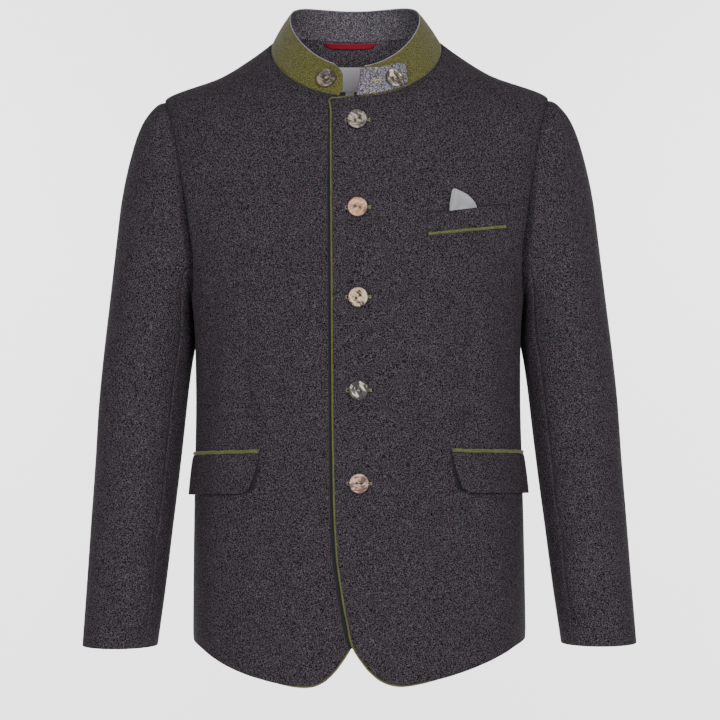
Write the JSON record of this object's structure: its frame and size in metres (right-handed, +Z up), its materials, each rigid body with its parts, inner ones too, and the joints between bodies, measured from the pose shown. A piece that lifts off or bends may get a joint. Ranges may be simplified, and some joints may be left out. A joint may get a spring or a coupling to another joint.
{
  "type": "trachten coat",
  "caption": "Men's charcoal wool janker, hollow worn form, with an olive stand collar folded back in a buttoned tab, stag-horn buttons, green piping and a cutaway hem.",
  "frame": {"origin": "the middle of the neck, level with the points where the shoulder seams meet the collar", "axes": "+Z up along the hanging coat, -Y to the front, +X to the wearer's left; +Z longest, +Y shortest"},
  "size_m": [0.658, 0.2804, 0.8033],
  "materials": {
    "charcoal_wool": "felted wool melange, charcoal with pale hairs, matt",
    "charcoal_sleeve_wool": "felted wool melange of the sleeves, charcoal with pale hairs, matt",
    "olive_felt": "olive green wool felt, matt",
    "grey_melange_wool": "mid grey wool melange, matt",
    "grey_tab_wool": "pale grey felted wool with darker blotches, matt",
    "charcoal_facing": "charcoal wool facing, matt",
    "olive_piping": "yellow-green corded piping, matt",
    "grey_satin": "pale grey satin lining, soft sheen",
    "stag_horn": "turned stag horn with a dished face, beige and grey-brown streaks, satin",
    "hanger_loop": "dark red woven ribbon",
    "neck_label": "grey woven label, bare",
    "size_tab": "grey woven tab, bare"
  },
  "bodies": {
    "root": {"front_left": "charcoal_wool", "front_right": "charcoal_wool", "back_left": "charcoal_wool", "back_right": "charcoal_wool", "breast_welt": "charcoal_wool", "flap_left": "charcoal_wool", "flap_right": "charcoal_wool", "upper_sleeve_left": "charcoal_sleeve_wool", "upper_sleeve_right": "charcoal_sleeve_wool", "under_sleeve_left": "charcoal_sleeve_wool", "under_sleeve_right": "charcoal_sleeve_wool", "collar_outer": "olive_felt", "collar_inner": "grey_melange_wool", "collar_tab": "grey_tab_wool", "neck_facing": "charcoal_facing", "piping_front_left": "olive_piping", "piping_front_right": "olive_piping", "piping_hip_left": "olive_piping", "piping_hip_right": "olive_piping", "piping_breast": "olive_piping", "pocket_square": "grey_satin", "button_1": "stag_horn", "button_2": "stag_horn", "button_3": "stag_horn", "button_4": "stag_horn", "button_5": "stag_horn", "collar_button_left": "stag_horn", "collar_button_right": "stag_horn", "hanger_loop": "hanger_loop", "neck_label": "neck_label", "size_tab": "size_tab"}
  },
  "joints": []
}
